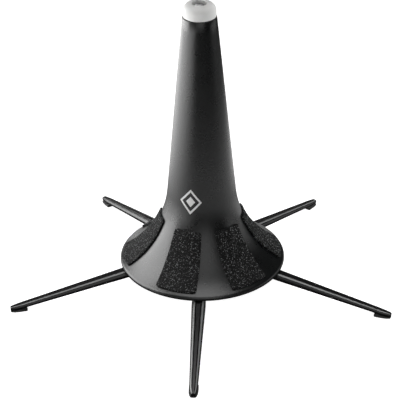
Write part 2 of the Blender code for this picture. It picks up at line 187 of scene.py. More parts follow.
def mould_grain_group():
    """Spark-eroded mould skin: Height for a Bump node, Mottle for slow changes of tone."""
    group, given, result = node_group("mould_grain", {"Scale": 2600.0, "Mottle Scale": 90.0},
                                      ("Height", "Mottle"))
    where = shader_node(group, "ShaderNodeTexCoord")
    pits = shader_node(group, "ShaderNodeTexVoronoi", feature="SMOOTH_F1", Smoothness=0.6)
    fine = shader_node(group, "ShaderNodeTexNoise", Detail=3.0, Roughness=0.65)
    slow = shader_node(group, "ShaderNodeTexNoise", Detail=4.0, Roughness=0.6)
    blend = shader_node(group, "ShaderNodeMath", operation="MULTIPLY_ADD")
    blend.inputs[1].default_value = 0.7
    for texture in (pits, fine, slow):
        group.links.new(where.outputs["Object"], texture.inputs["Vector"])
    group.links.new(given.outputs["Scale"], pits.inputs["Scale"])
    group.links.new(given.outputs["Scale"], fine.inputs["Scale"])
    group.links.new(given.outputs["Mottle Scale"], slow.inputs["Scale"])
    group.links.new(pits.outputs["Distance"], blend.inputs[0])
    group.links.new(fine.outputs["Fac"], blend.inputs[2])
    group.links.new(blend.outputs["Value"], result.inputs["Height"])
    group.links.new(slow.outputs["Fac"], result.inputs["Mottle"])
    return group


def worn_edge_group():
    """A mask of the rubbed outer edges, broken up by noise."""
    group, given, result = node_group("worn_edge", {"Radius": 0.0004, "Breakup": 700.0}, ("Mask",))
    where = shader_node(group, "ShaderNodeTexCoord")
    rounded = shader_node(group, "ShaderNodeBevel", samples=4)
    flat = shader_node(group, "ShaderNodeNewGeometry")
    turn = shader_node(group, "ShaderNodeVectorMath", operation="DOT_PRODUCT")
    edge = shader_node(group, "ShaderNodeMapRange", From_Min=0.995, From_Max=0.86)
    spots = shader_node(group, "ShaderNodeTexNoise", Detail=4.0, Roughness=0.7)
    patchy = shader_node(group, "ShaderNodeMapRange", From_Min=0.42, From_Max=0.66)
    both = shader_node(group, "ShaderNodeMath", operation="MULTIPLY", use_clamp=True)
    group.links.new(given.outputs["Radius"], rounded.inputs["Radius"])
    group.links.new(rounded.outputs["Normal"], turn.inputs[0])
    group.links.new(flat.outputs["Normal"], turn.inputs[1])
    group.links.new(turn.outputs["Value"], edge.inputs["Value"])
    group.links.new(where.outputs["Object"], spots.inputs["Vector"])
    group.links.new(given.outputs["Breakup"], spots.inputs["Scale"])
    group.links.new(spots.outputs["Fac"], patchy.inputs["Value"])
    group.links.new(edge.outputs["Result"], both.inputs[0])
    group.links.new(patchy.outputs["Result"], both.inputs[1])
    group.links.new(both.outputs["Value"], result.inputs["Mask"])
    return group


MOULD_GRAIN = mould_grain_group()
WORN_EDGE = worn_edge_group()


def placed_group(tree, group, **values):
    """Place a shared group in a material; values named after its inputs are put on them."""
    added = tree.nodes.new("ShaderNodeGroup")
    added.node_tree = group
    for title, value in values.items():
        added.inputs[title.replace("_", " ")].default_value = value
    return added


def between(tree, factor, low, high):
    """A socket that runs from low to high as factor goes from 0 to 1."""
    step = shader_node(tree, "ShaderNodeMapRange", To_Min=low, To_Max=high)
    tree.links.new(factor, step.inputs["Value"])
    return step.outputs["Result"]


def mixed(tree, factor, colour_a, colour_b):
    """Mix two colours; each is a socket or three numbers."""
    mix = shader_node(tree, "ShaderNodeMix", data_type="RGBA")
    tree.links.new(factor, mix.inputs[0])
    for socket, colour in ((mix.inputs[6], colour_a), (mix.inputs[7], colour_b)):
        if isinstance(colour, tuple):
            socket.default_value = (*colour, 1.0)
        else:
            tree.links.new(colour, socket)
    return mix.outputs[2]


def new_material(name, **settings):
    """A Principled material with constant settings on its own sockets."""
    material = bpy.data.materials.new(name)
    material.use_nodes = True
    bsdf = material.node_tree.nodes["Principled BSDF"]
    for title, value in settings.items():
        bsdf.inputs[title.replace("_", " ")].default_value = value
    return material, material.node_tree, bsdf


def bumped(tree, bsdf, height, strength, depth):
    """Feed a height to the shader's normal; strength is set, not linked."""
    bump = shader_node(tree, "ShaderNodeBump", Strength=strength, Distance=depth)
    tree.links.new(height, bump.inputs["Height"])
    tree.links.new(bump.outputs["Normal"], bsdf.inputs["Normal"])


def moulded_black(name, dark, light, worn, rough, grain, depth, edge_radius, gloss=0.5):
    """Black moulded plastic: mould grain, slow mottle and rubbed edges."""
    material, tree, bsdf = new_material(name, IOR=1.5, Specular_IOR_Level=gloss)
    skin = placed_group(tree, MOULD_GRAIN, Scale=grain)
    rub = placed_group(tree, WORN_EDGE, Radius=edge_radius)
    tone = mixed(tree, skin.outputs["Mottle"], dark, light)
    tree.links.new(mixed(tree, rub.outputs["Mask"], tone, worn), bsdf.inputs["Base Color"])
    tree.links.new(between(tree, skin.outputs["Mottle"], *rough), bsdf.inputs["Roughness"])
    bumped(tree, bsdf, skin.outputs["Height"], 0.5, depth)
    return material


hub_plastic = moulded_black("hub_plastic", (0.010, 0.010, 0.011), (0.018, 0.018, 0.019),
                            (0.07, 0.07, 0.07), (0.40, 0.52), 2400.0, 0.00006, 0.0004)


WELD_DISTANCE = 0.000001


def finish_node(name, material, angle=30.0):
    """Give a carried-over piece its material and smooth its round faces."""
    item = nodes[name]
    item.data.materials.clear()
    item.data.materials.append(material)
    weld = item.modifiers.new("weld", "WELD")
    weld.merge_threshold = WELD_DISTANCE
    item.data.shade_smooth()
    item.data.set_sharp_from_angle(angle=math.radians(angle))


finish_node("leg_hub", hub_plastic)


# ---------------------------------------------------------------------------- hinge pins
# Five pins cut from drawn steel wire lie in the hub's channels, one through each leg. The
# collar keeps them down. Drawing leaves the wire finely marked.
def drawn_steel(name, colour, rough, marks):
    """Bare steel, finely marked by its making, duller and rougher where the marks are deep."""
    material, tree, bsdf = new_material(name, Metallic=1.0)
    where = shader_node(tree, "ShaderNodeTexCoord")
    streaks = shader_node(tree, "ShaderNodeTexNoise", Scale=marks, Detail=5.0, Roughness=0.7)
    tree.links.new(where.outputs["Object"], streaks.inputs["Vector"])
    dull = tuple(0.72 * part for part in colour)
    tree.links.new(mixed(tree, streaks.outputs["Fac"], dull, colour), bsdf.inputs["Base Color"])
    tree.links.new(between(tree, streaks.outputs["Fac"], rough + 0.12, rough - 0.06),
                   bsdf.inputs["Roughness"])
    bumped(tree, bsdf, streaks.outputs["Fac"], 0.25, 0.00003)
    return material


pin_steel = drawn_steel("pin_steel", (0.62, 0.62, 0.60), 0.30, 1800.0)
for number in range(1, 6):
    finish_node(f"hinge_pin_{number}", pin_steel)


# ---------------------------------------------------------------------------- collar
# The upper hub half closes the pin channels, stops each leg when it is open and plugs into
# the cone's socket. It is the same black plastic, polished a little by the socket.
collar_plastic = moulded_black("collar_plastic", (0.011, 0.011, 0.012), (0.020, 0.020, 0.021),
                               (0.09, 0.09, 0.09), (0.34, 0.46), 2400.0, 0.00005, 0.0004)
finish_node("hub_collar", collar_plastic)


# ---------------------------------------------------------------------------- hub screws
# Five small zinc-plated screws hold the two halves of the hub together.
screw_zinc = drawn_steel("screw_zinc", (0.58, 0.60, 0.60), 0.36, 900.0)
for number in range(1, 6):
    finish_node(f"hub_screw_{number}", screw_zinc)


# ---------------------------------------------------------------------------- legs
# Each leg is a solid tapered moulding that slopes down to its foot. Two fine grooves run
# along its back, the bevel beside them is painted grey as a highlight, and a knuckle takes
# the hinge pin.
RIM_R = (cone_high.x - cone_low.x) / 2
LEG_TIP_R = 0.1198
LEG_BACK_AT_RIM, LEG_BACK_SLOPE = 0.0170, 0.1986
LEG_UNDER_AT_RIM, LEG_UNDER_SLOPE = 0.0122, 0.168
LEG_ROOT_WIDTH, LEG_MAX_WIDTH, LEG_TIP_WIDTH = 0.0070, 0.0085, 0.0048
LEG_STRAIGHT = 0.010                     # how far out from the pin the leg keeps its root width
LEG_START = 0.0006                       # the loft starts inside the knuckle
LEG_STATIONS = 64
LEG_NOSE, NOSE_NARROWING = 0.0070, 0.34  # how long, and by how much, the leg narrows to its tip
NOSE_CURVE = 1.6
LEG_ROUND = 0.00030                      # rounding of the leg's edges
KNUCKLE_R, KNUCKLE_EDGE = 0.0032, 0.0003
PIN_BORE_R, PIN_BORE_LENGTH = 0.00155, 0.012
GROOVE_HALF, GROOVE_DEPTH = 0.00036, 0.00075
# These three are shares of the leg's width and height, from its middle line and underside.
GROOVE_AT = 0.175
RIDGE = (0.24, 0.36)                     # the bevel, painted lighter as a highlight
LEG_HALF_SECTION = ((0.34, 0.0), (0.46, 0.32), (0.50, 0.50), (0.465, 0.66), (RIDGE[1], 0.92),
                    (RIDGE[0], 1.0), (GROOVE_AT, 1.0))


def object_from(name, builder, material):
    """Turn a bmesh into a linked object with its faces pointing out."""
    bmesh.ops.recalc_face_normals(builder, faces=builder.faces)
    mesh = bpy.data.meshes.new(name)
    builder.to_mesh(mesh)
    builder.free()
    mesh.materials.append(material)
    item = bpy.data.objects.new(name, mesh)
    scene.collection.objects.link(item)
    return item


def smooth_shaded(item, angle=30.0):
    """Smooth the round faces and keep edges sharper than an angle crisp."""
    item.data.shade_smooth()
    item.data.set_sharp_from_angle(angle=math.radians(angle))
    return item


def leg_height(at_rim, slope, radius):
    """Height of the leg's back or underside at a distance from the cone's axis."""
    return at_rim - slope * (radius - RIM_R)


def leg_width(radius, pivot_r):
    """Widest at the cone's rim, narrower towards the pin and the tip, quickest at the nose."""
    narrow = pivot_r + LEG_STRAIGHT
    if radius <= narrow:
        return LEG_ROOT_WIDTH
    if radius <= RIM_R:
        share = (radius - narrow) / (RIM_R - narrow)
        return LEG_ROOT_WIDTH + (LEG_MAX_WIDTH - LEG_ROOT_WIDTH) * share
    width = LEG_MAX_WIDTH + (LEG_TIP_WIDTH - LEG_MAX_WIDTH) * (radius - RIM_R) / (LEG_TIP_R - RIM_R)
    into_nose = max(0.0, (radius - LEG_TIP_R + LEG_NOSE) / LEG_NOSE)
    return width * (1 - NOSE_NARROWING * into_nose ** NOSE_CURVE)


def rounded_corner(before, corner, after, radius, steps):
    """Points that replace a corner by a short curve."""
    towards, away = (before - corner), (after - corner)
    cut = min(radius, towards.length * 0.4, away.length * 0.4)
    first, last = corner + towards.normalized() * cut, corner + away.normalized() * cut
    return [first.lerp(corner, t).lerp(corner.lerp(last, t), t)
            for t in (i / steps for i in range(steps + 1))]


def leg_section(radius, pivot_r):
    """The leg's outline across its length: rounded edges and two V grooves."""
    width = leg_width(radius, pivot_r)
    low = leg_height(LEG_UNDER_AT_RIM, LEG_UNDER_SLOPE, radius)
    high = leg_height(LEG_BACK_AT_RIM, LEG_BACK_SLOPE, radius)
    half = [Vector((across * width, low + up * (high - low))) for across, up in LEG_HALF_SECTION]
    corners = half + [Vector((-p.x, p.y)) for p in reversed(half)]
    outline = []
    for i, corner in enumerate(corners):
        before, after = corners[i - 1], corners[(i + 1) % len(corners)]
        if abs(abs(corner.x) - GROOVE_AT * width) < 1e-7:
            half_gap = min(GROOVE_HALF, GROOVE_HALF * width / LEG_ROOT_WIDTH)
            side_a = corner + (before - corner).normalized() * half_gap
            side_b = corner + (after - corner).normalized() * half_gap
            outline += [side_a, corner - Vector((0, GROOVE_DEPTH * half_gap / GROOVE_HALF)), side_b]
        else:
            outline += rounded_corner(before, corner, after, LEG_ROUND, 3)
    return outline


def leg_body(pivot_r, pivot_z):
    """Loft the leg in its pivot's own frame: X outwards, Y along the pin."""
    stations = [pivot_r + LEG_START + (LEG_TIP_R - pivot_r - LEG_START) * (i / LEG_STATIONS)
                for i in range(LEG_STATIONS + 1)]
    nose = [(LEG_TIP_R - 0.0009, 1.0), (LEG_TIP_R - 0.0005, 0.97), (LEG_TIP_R - 0.0002, 0.92),
            (LEG_TIP_R, 0.84)]
    shape = [(radius, 1.0) for radius in stations if radius < LEG_TIP_R - 0.0015] + nose
    builder = bmesh.new()
    rings = []
    for radius, shrink in shape:
        middle = (leg_height(LEG_UNDER_AT_RIM, LEG_UNDER_SLOPE, radius)
                  + leg_height(LEG_BACK_AT_RIM, LEG_BACK_SLOPE, radius)) / 2
        rings.append([builder.verts.new((radius - pivot_r, p.x * shrink,
                                         middle + (p.y - middle) * shrink - pivot_z))
                      for p in leg_section(radius, pivot_r)])
    for (radius, shrink), ring_a, ring_b in zip(shape, rings, rings[1:]):
        width = leg_width(radius, pivot_r) * shrink
        for i in range(len(ring_a)):
            face = builder.faces.new((ring_a[i - 1], ring_a[i], ring_b[i], ring_b[i - 1]))
            across = abs(ring_a[i - 1].co.y + ring_a[i].co.y) / 2 / width
            # Faces on the bevel take the second material, a painted highlight.
            if RIDGE[0] < across < RIDGE[1]:
                face.material_index = 1
    builder.faces.new(rings[0])
    builder.faces.new(rings[-1])
    return builder


def cross_rod(radius, length, steps, edge=0.0):
    """A rod along Y, with its end edges rounded if edge is more than nothing."""
    builder = bmesh.new()
    bmesh.ops.create_cone(builder, cap_ends=True, segments=steps, radius1=radius, radius2=radius,
                          depth=length)
    if edge:
        rims = [e for e in builder.edges if abs(e.verts[0].co.z - e.verts[1].co.z) < 1e-7]
        bmesh.ops.bevel(builder, geom=rims, offset=edge, segments=2, profile=0.5, affect="EDGES")
    bmesh.ops.rotate(builder, verts=builder.verts, matrix=Matrix.Rotation(math.pi / 2, 3, "X"))
    return builder


def apply_modifiers(item):
    """Replace an object's mesh by what its modifiers make of it."""
    graph = bpy.context.evaluated_depsgraph_get()
    mesh = bpy.data.meshes.new_from_object(item.evaluated_get(graph))
    item.modifiers.clear()
    item.data = mesh


def cut_or_join(item, operation, builder):
    """Apply one Boolean at once and throw its guide away."""
    guide = object_from("guide", builder, item.data.materials[0])
    guide.matrix_world = item.matrix_world
    modifier = item.modifiers.new("shape", "BOOLEAN")
    modifier.operation, modifier.solver, modifier.object = operation, "EXACT", guide
    bpy.context.view_layer.update()
    apply_modifiers(item)
    bpy.data.objects.remove(guide)


# The bevel's grey material is a painted highlight, far lighter than the leg's black plastic.
leg_ridge_highlight = moulded_black("leg_ridge_highlight", (0.17, 0.175, 0.175), (0.27, 0.275, 0.275),
                          (0.34, 0.34, 0.34), (0.20, 0.30), 1500.0, 0.00002, 0.0002)
leg_plastic = moulded_black("leg_plastic", (0.0030, 0.0030, 0.0034), (0.0060, 0.0060, 0.0064),
                            (0.040, 0.040, 0.040), (0.20, 0.28), 1500.0, 0.00004, 0.0003, 0.36)
folds = [joint for joint in frame["joints"] if joint["type"] == "hinge"]
leg_frames = []
for number, joint in enumerate(folds, 1):
    pivot = Vector(joint["pos_m"])
    outward = Vector((pivot.x - axis.x, pivot.y - axis.y, 0.0))
    pivot_r = outward.length
    outward.normalize()
    along_pin = Vector((-outward.y, outward.x, 0.0))
    turn = Matrix((outward, along_pin, Vector((0, 0, 1)))).transposed().to_4x4()
    leg_frames.append((Matrix.Translation(pivot) @ turn, joint["child"], pivot_r, pivot.z))

    leg = object_from(f"leg_{number}_moulding", leg_body(pivot_r, pivot.z), leg_plastic)
    leg.data.materials.append(leg_ridge_highlight)
    cut_or_join(leg, "UNION", cross_rod(KNUCKLE_R, LEG_ROOT_WIDTH, 48, KNUCKLE_EDGE))
    cut_or_join(leg, "DIFFERENCE", cross_rod(PIN_BORE_R, PIN_BORE_LENGTH, 32))
    smooth_shaded(leg, 24.0)
    leg.data.transform(leg_frames[-1][0])
    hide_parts(f"leg_{number}")
    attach(leg, joint["child"])


# ---------------------------------------------------------------------------- feet
# A soft rubber wedge is bonded under each leg's tip and keeps the stand from sliding. It is
# a little wider than the leg, flat at its inner end and rounded at its nose.
FOOT_LENGTH, FOOT_WIDTH = 0.0100, 0.0056
FOOT_GAP = 0.0003                        # between the leg's underside and the rubber
FOOT_ROUND, FOOT_BEVEL = 0.0005, 0.00012


def rubber():
    """Soft black rubber: a dull mould grain, paler where it is rubbed."""
    material, tree, bsdf = new_material("foot_rubber", IOR=1.5, Sheen_Weight=0.15)
    skin = placed_group(tree, MOULD_GRAIN, Scale=1700.0, Mottle_Scale=420.0)
    rub = placed_group(tree, WORN_EDGE, Radius=0.0005)
    tone = mixed(tree, skin.outputs["Mottle"], (0.012, 0.012, 0.012), (0.030, 0.030, 0.029))
    tree.links.new(mixed(tree, rub.outputs["Mask"], tone, (0.10, 0.10, 0.095)), bsdf.inputs["Base Color"])
    tree.links.new(between(tree, skin.outputs["Mottle"], 0.62, 0.82), bsdf.inputs["Roughness"])
    bumped(tree, bsdf, skin.outputs["Height"], 0.6, 0.00008)
    return material


foot_rubber = rubber()


def foot_body(pivot_r, pivot_z):
    """The wedge between the floor and the leg's underside, in its pivot's own frame."""
    half, inner_r = FOOT_WIDTH / 2, LEG_TIP_R - FOOT_LENGTH
    plan = [Vector((inner_r + along, side)) for along, side in
            ((0.0, -half), (0.0052, -half), (0.0078, -half * 0.86), (0.0094, -half * 0.64),
             (0.0100, -half * 0.44), (0.0100, half * 0.44), (0.0094, half * 0.64),
             (0.0078, half * 0.86), (0.0052, half), (0.0, half))]
    outline = []
    for i, corner in enumerate(plan):
        outline += rounded_corner(plan[i - 1], corner, plan[(i + 1) % len(plan)], FOOT_ROUND, 3)
    builder = bmesh.new()
    layers = []
    for share, inset in ((0.0, FOOT_BEVEL), (0.12, 0.0), (0.75, 0.0), (1.0, FOOT_BEVEL)):
        ring = []
        for p in outline:
            roof = leg_height(LEG_UNDER_AT_RIM, LEG_UNDER_SLOPE, p.x) - FOOT_GAP
            away = Vector((p.x - (inner_r + LEG_TIP_R) / 2, p.y)).normalized() * inset
            ring.append(builder.verts.new((p.x - away.x - pivot_r, p.y - away.y,
                                           roof * share - pivot_z)))
        layers.append(ring)
    for ring_a, ring_b in zip(layers, layers[1:]):
        for i in range(len(ring_a)):
            builder.faces.new((ring_a[i - 1], ring_a[i], ring_b[i], ring_b[i - 1]))
    builder.faces.new(layers[0])
    builder.faces.new(layers[-1])
    return builder


for number, (place, body, pivot_r, pivot_z) in enumerate(leg_frames, 1):
    foot = object_from(f"foot_{number}_wedge", foot_body(pivot_r, pivot_z), foot_rubber)
    smooth_shaded(foot, 40.0)
    foot.data.transform(place)
    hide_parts(f"foot_{number}")
    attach(foot, body)


# ---------------------------------------------------------------------------- cone
# The cone is one thin-walled injection moulding in black plastic, satin outside. A socket
# tube with thin ribs is moulded inside it, and a post in its nose takes the cap's screw.
CONE_TOP_R, TAPER = 0.0100, math.radians(5.38)
FLARE_START_Z, UPPER_ARC_R, LOWER_ARC_R = 0.0654, 0.0602, 0.0500
ARC_CHANGE = math.radians(39.5)         # from the vertical, where the lower arc takes over
LIP_R, WALL = 0.0018, 0.0022
SOCKET_R, SOCKET_WALL, SOCKET_LEDGE = 0.0202, 0.0018, 0.0014
SOCKET_BOTTOM_Z, LEDGE_Z = 0.0268, 0.0363
POST_R, POST_LENGTH, SCREW_HOLE_R = 0.0048, 0.016, 0.0018
NOSE_WALL = 0.0035
RIB_COUNT, RIB_WIDTH = 10, 0.0014
RIB_SETBACK, RIB_RISE = 0.0005, 0.0006   # from the socket's roof, and from its lower edge
RIM_EASE, EDGE_EASE, EASE_MIDDLE = 0.0004, 0.0003, 0.0001    # sharp corners taken off
SKIRT_CLEAR, BORE_CLEAR, CEILING_CLEAR = 0.0008, 0.0004, 0.001   # so joins leave no slivers
CONE_STEPS = 160


def turned(outline, steps):
    """Spin a closed outline of (radius, height) points round the cone's axis."""
    builder = bmesh.new()
    points = [builder.verts.new((axis.x + radius, axis.y, height)) for radius, height in outline]
    edges = [builder.edges.new((points[i - 1], points[i])) for i in range(len(points))
             if not (outline[i - 1][0] == 0.0 and outline[i][0] == 0.0)]
    bmesh.ops.spin(builder, geom=points + edges, cent=axis, axis=(0, 0, 1), angle=math.tau,
                   steps=steps, use_merge=True)
    bmesh.ops.remove_doubles(builder, verts=builder.verts, dist=1e-6)
    return builder


def arc(centre, radius, start, end, steps):
    """Points on an arc, angles in radians from outwards towards up."""
    return [(centre[0] + radius * math.cos(start + (end - start) * i / steps),
             centre[1] + radius * math.sin(start + (end - start) * i / steps))
            for i in range(steps + 1)]


def flare_arcs():
    """Centres of the flare's two arcs, and the angle where the lower one meets the lip."""
    start_r = CONE_TOP_R + (cone_high.z - FLARE_START_Z) * math.tan(TAPER)
    upper = Vector((start_r + UPPER_ARC_R * math.cos(TAPER),
                    FLARE_START_Z + UPPER_ARC_R * math.sin(TAPER)))
    lower = upper - (UPPER_ARC_R - LOWER_ARC_R) * Vector((math.cos(ARC_CHANGE), math.sin(ARC_CHANGE)))
    return upper, lower, math.acos((lower.x + LIP_R - RIM_R) / (LOWER_ARC_R + LIP_R))


def cone_side(offset, taper_steps, arc_steps):
    """The cone's side from its top edge to the end of the flare, moved out by offset."""
    upper, lower, flare_end = flare_arcs()
    side = arc(upper, UPPER_ARC_R - offset, math.pi + TAPER, math.pi + ARC_CHANGE, arc_steps)
    side += arc(lower, LOWER_ARC_R - offset, math.pi + ARC_CHANGE, math.pi + flare_end, arc_steps)[1:]
    top = Vector((CONE_TOP_R + offset * math.cos(TAPER), cone_high.z + offset * math.sin(TAPER)))
    start = Vector(side[0])
    return [tuple(top.lerp(start, i / taper_steps)) for i in range(taper_steps)] + side


def side_radius(side, height):
    """Radius of the side at a height, by straight lines between its points."""
    for (r_a, z_a), (r_b, z_b) in zip(side, side[1:]):
        if z_b <= height <= z_a:
            return r_a + (r_b - r_a) * (z_a - height) / (z_a - z_b)
    return side[0][0] if height > side[0][1] else side[-1][0]


def height_where(side, radius):
    """The first height, going down, where the side is wider than a radius."""
    return next(z for z in (0.07 - i * 0.0002 for i in range(200)) if side_radius(side, z) > radius)


def cone_outline():
    """The whole moulding's half section: side, lip, skirt, socket, bore and screw post."""
    outer = cone_side(0.0, 14, 24)
    flare_end = flare_arcs()[2]
    lip = arc((RIM_R - LIP_R, outer[-1][1] - LIP_R * math.sin(flare_end)), LIP_R, flare_end, 0.0, 10)
    inner = cone_side(-WALL, 6, 12)
    socket_outer, ledge_r = SOCKET_R + SOCKET_WALL, SOCKET_R - SOCKET_LEDGE
    join_z = height_where(inner, socket_outer)
    skirt = [p for p in inner if p[0] > socket_outer + SKIRT_CLEAR]
    ceiling = cone_high.z - NOSE_WALL
    bore = [p for p in inner if p[0] < ledge_r - BORE_CLEAR and p[1] < ceiling - CEILING_CLEAR]
    outline = outer[:-1] + lip
    outline += [(RIM_R, cone_low.z + RIM_EASE), (RIM_R - EASE_MIDDLE, cone_low.z + EASE_MIDDLE),
                (RIM_R - RIM_EASE, cone_low.z), (RIM_R - WALL, cone_low.z)]
    outline += list(reversed(skirt))
    outline += [(socket_outer, join_z), (socket_outer, SOCKET_BOTTOM_Z + EDGE_EASE),
                (socket_outer - EDGE_EASE, SOCKET_BOTTOM_Z), (SOCKET_R + EDGE_EASE, SOCKET_BOTTOM_Z),
                (SOCKET_R, SOCKET_BOTTOM_Z + EDGE_EASE), (SOCKET_R, LEDGE_Z), (ledge_r, LEDGE_Z),
                (ledge_r, height_where(inner, ledge_r))]
    outline += list(reversed(bore))
    post_low = cone_high.z - POST_LENGTH
    outline += [(side_radius(inner, ceiling), ceiling), (POST_R, ceiling),
                (POST_R, post_low + EDGE_EASE), (POST_R - EDGE_EASE, post_low),
                (SCREW_HOLE_R, post_low), (SCREW_HOLE_R, cone_high.z),
                (CONE_TOP_R - EDGE_EASE, cone_high.z),
                (CONE_TOP_R - EASE_MIDDLE, cone_high.z - EASE_MIDDLE)]
    return [(CONE_TOP_R + EDGE_EASE * math.tan(TAPER), cone_high.z - EDGE_EASE)] + outline[1:]


def rib_builder():
    """Ten thin webs between the socket tube and the wall, clear of the legs."""
    inner, middle = cone_side(-WALL, 6, 12), cone_side(-WALL / 2, 6, 12)
    socket_outer = SOCKET_R + SOCKET_WALL
    high, low = height_where(inner, socket_outer) - RIB_SETBACK, SOCKET_BOTTOM_Z + RIB_RISE
    root = socket_outer - SOCKET_WALL / 2
    outline = [(root, low), (side_radius(middle, low), low)]
    outline += [(r, z) for r, z in reversed(middle)
                if low + RIB_SETBACK < z < high - RIB_SETBACK]
    outline += [(side_radius(middle, high), high), (root, high)]
    whole = bmesh.new()
    for number in range(RIB_COUNT):
        turn = Matrix.Rotation(math.tau * (number + 0.5) / RIB_COUNT - math.pi / 2, 4, "Z")
        sides = [[whole.verts.new(axis + turn @ Vector((r, side * RIB_WIDTH / 2, z))) for r, z in outline]
                 for side in (-1, 1)]
        whole.faces.new(sides[0])
        whole.faces.new(reversed(sides[1]))
        for i in range(len(outline)):
            whole.faces.new((sides[0][i - 1], sides[0][i], sides[1][i], sides[1][i - 1]))
    return whole


cone_plastic = moulded_black("cone_plastic", (0.0015, 0.0018, 0.0018), (0.0032, 0.0038, 0.0038),
                             (0.03, 0.03, 0.03), (0.24, 0.32), 1500.0, 0.00012, 0.0005)
cone = object_from("cone_moulding", turned(cone_outline(), CONE_STEPS), cone_plastic)
cut_or_join(cone, "UNION", rib_builder())
smooth_shaded(cone, 28.0)
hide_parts("cone_shell")
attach(cone, "cone")


# ---------------------------------------------------------------------------- print
# A plain emblem without letters is pad-printed in white ink on the cone's front. The ink
# is a few hundredths of a millimetre thick and follows the cone.
MARK_TURN = math.radians(-106.0)
MARK_Z = 0.0676
MARK_HALF_WIDTH, MARK_HALF_HEIGHT = 0.0068, 0.0080
MARK_LINE = 0.0011
INK = 0.00004


def on_cone(cone_tree, turn, height):
    """The point of the cone's outside at a bearing and a height, and its normal."""
    outward = Vector((math.cos(turn), math.sin(turn), 0.0))
    start = Vector((axis.x, axis.y, height)) + outward * 0.2
    place, normal, _, _ = cone_tree.ray_cast(start, -outward)
    return place, normal


def rhombus_band(builder, outer, inner, cone_tree, around=28, across=3):
    """A closed band of ink between two upright rhombuses, laid on the cone."""
    def corner_path(half, share):
        wide, tall = half
        corners = [Vector((wide, 0)), Vector((0, tall)), Vector((-wide, 0)), Vector((0, -tall))]
        side, along_side = int(share * 4) % 4, share * 4 % 1
        return corners[side].lerp(corners[(side + 1) % 4], along_side)

    rings = {}
    for layer, lift in enumerate((INK, -INK)):
        for j in range(across + 1):
            ring = []
            for i in range(around * 4):
                share = i / (around * 4)
                p = corner_path(inner, share).lerp(corner_path(outer, share), j / across)
                foot, normal = on_cone(cone_tree, MARK_TURN + p.x / MARK_R, MARK_Z + p.y)
                ring.append(builder.verts.new(foot + normal * lift))
            rings[layer, j] = ring
    count = around * 4
    for i in range(count):
        k = (i + 1) % count
        for j in range(across):
            builder.faces.new((rings[0, j][i], rings[0, j + 1][i], rings[0, j + 1][k], rings[0, j][k]))
            builder.faces.new((rings[1, j][k], rings[1, j + 1][k], rings[1, j + 1][i], rings[1, j][i]))
        for j in (0, across):
            builder.faces.new((rings[0, j][i], rings[0, j][k], rings[1, j][k], rings[1, j][i]))


cone_faces = bmesh.new()
cone_faces.from_mesh(cone.data)
cone_skin = BVHTree.FromBMesh(cone_faces)
MARK_R = (on_cone(cone_skin, MARK_TURN, MARK_Z)[0] - Vector((axis.x, axis.y, MARK_Z))).length
mark = bmesh.new()
outside = (MARK_HALF_WIDTH, MARK_HALF_HEIGHT)
rhombus_band(mark, outside, (outside[0] - MARK_LINE * 1.35, outside[1] - MARK_LINE * 1.7), cone_skin)
rhombus_band(mark, (MARK_HALF_WIDTH * 0.42, MARK_HALF_HEIGHT * 0.42), (0.00004, 0.00004), cone_skin, 16)


def white_ink():
    """Pad-printed white ink, a little thinner in spots."""
    material, tree, bsdf = new_material("white_ink", IOR=1.5)
    where = shader_node(tree, "ShaderNodeTexCoord")
    cover = shader_node(tree, "ShaderNodeTexNoise", Scale=2200.0, Detail=3.0, Roughness=0.7)
    thin = shader_node(tree, "ShaderNodeMapRange", From_Min=0.30, From_Max=0.48)
    tree.links.new(where.outputs["Object"], cover.inputs["Vector"])
    tree.links.new(cover.outputs["Fac"], thin.inputs["Value"])
    tree.links.new(mixed(tree, thin.outputs["Result"], (0.76, 0.77, 0.77), (0.97, 0.97, 0.97)),
                   bsdf.inputs["Base Color"])
    tree.links.new(between(tree, thin.outputs["Result"], 0.55, 0.42), bsdf.inputs["Roughness"])
    bumped(tree, bsdf, cover.outputs["Fac"], 0.3, 0.00002)
    return material


emblem = smooth_shaded(object_from("cone_print", mark, white_ink()), 40.0)
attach(emblem, "cone")


# ---------------------------------------------------------------------------- felt
# Six strips of black needled felt are glued to the flare, where the bell rests. They are
# cut by hand from sheet, so their edges are a little uneven and their nap stands up.
def felt():
    """Black needled felt: matted fibres, with scattered pale specks painted in as glints."""
    material, tree, bsdf = new_material("black_felt", Sheen_Weight=0.02, Sheen_Roughness=0.5,
                                        Specular_IOR_Level=0.2)
    where = shader_node(tree, "ShaderNodeTexCoord")
    fibres = shader_node(tree, "ShaderNodeTexNoise", Scale=1300.0, Detail=6.0, Roughness=0.75,
                         Distortion=1.2)
    glints = shader_node(tree, "ShaderNodeTexVoronoi", Scale=1350.0)
    spark = shader_node(tree, "ShaderNodeMapRange", From_Min=0.46, From_Max=0.26)
    chance = shader_node(tree, "ShaderNodeTexNoise", Scale=1100.0, Detail=1.0)
    rare = shader_node(tree, "ShaderNodeMapRange", From_Min=0.50, From_Max=0.58)
    both = shader_node(tree, "ShaderNodeMath", operation="MULTIPLY", use_clamp=True)
    for texture in (fibres, glints, chance):
        tree.links.new(where.outputs["Object"], texture.inputs["Vector"])
    tree.links.new(glints.outputs["Distance"], spark.inputs["Value"])
    tree.links.new(chance.outputs["Fac"], rare.inputs["Value"])
    tree.links.new(spark.outputs["Result"], both.inputs[0])
    tree.links.new(rare.outputs["Result"], both.inputs[1])
    nap = mixed(tree, fibres.outputs["Fac"], (0.0003, 0.0003, 0.0003), (0.0050, 0.0054, 0.0054))
    # The pale specks are painted glints on the fibres: lighter and glossier than the nap.
    tree.links.new(mixed(tree, both.outputs["Value"], nap, (0.24, 0.25, 0.25)), bsdf.inputs["Base Color"])
    tree.links.new(between(tree, both.outputs["Value"], 0.95, 0.28), bsdf.inputs["Roughness"])
    bumped(tree, bsdf, fibres.outputs["Fac"], 1.0, 0.0006)
    return material


black_felt = felt()


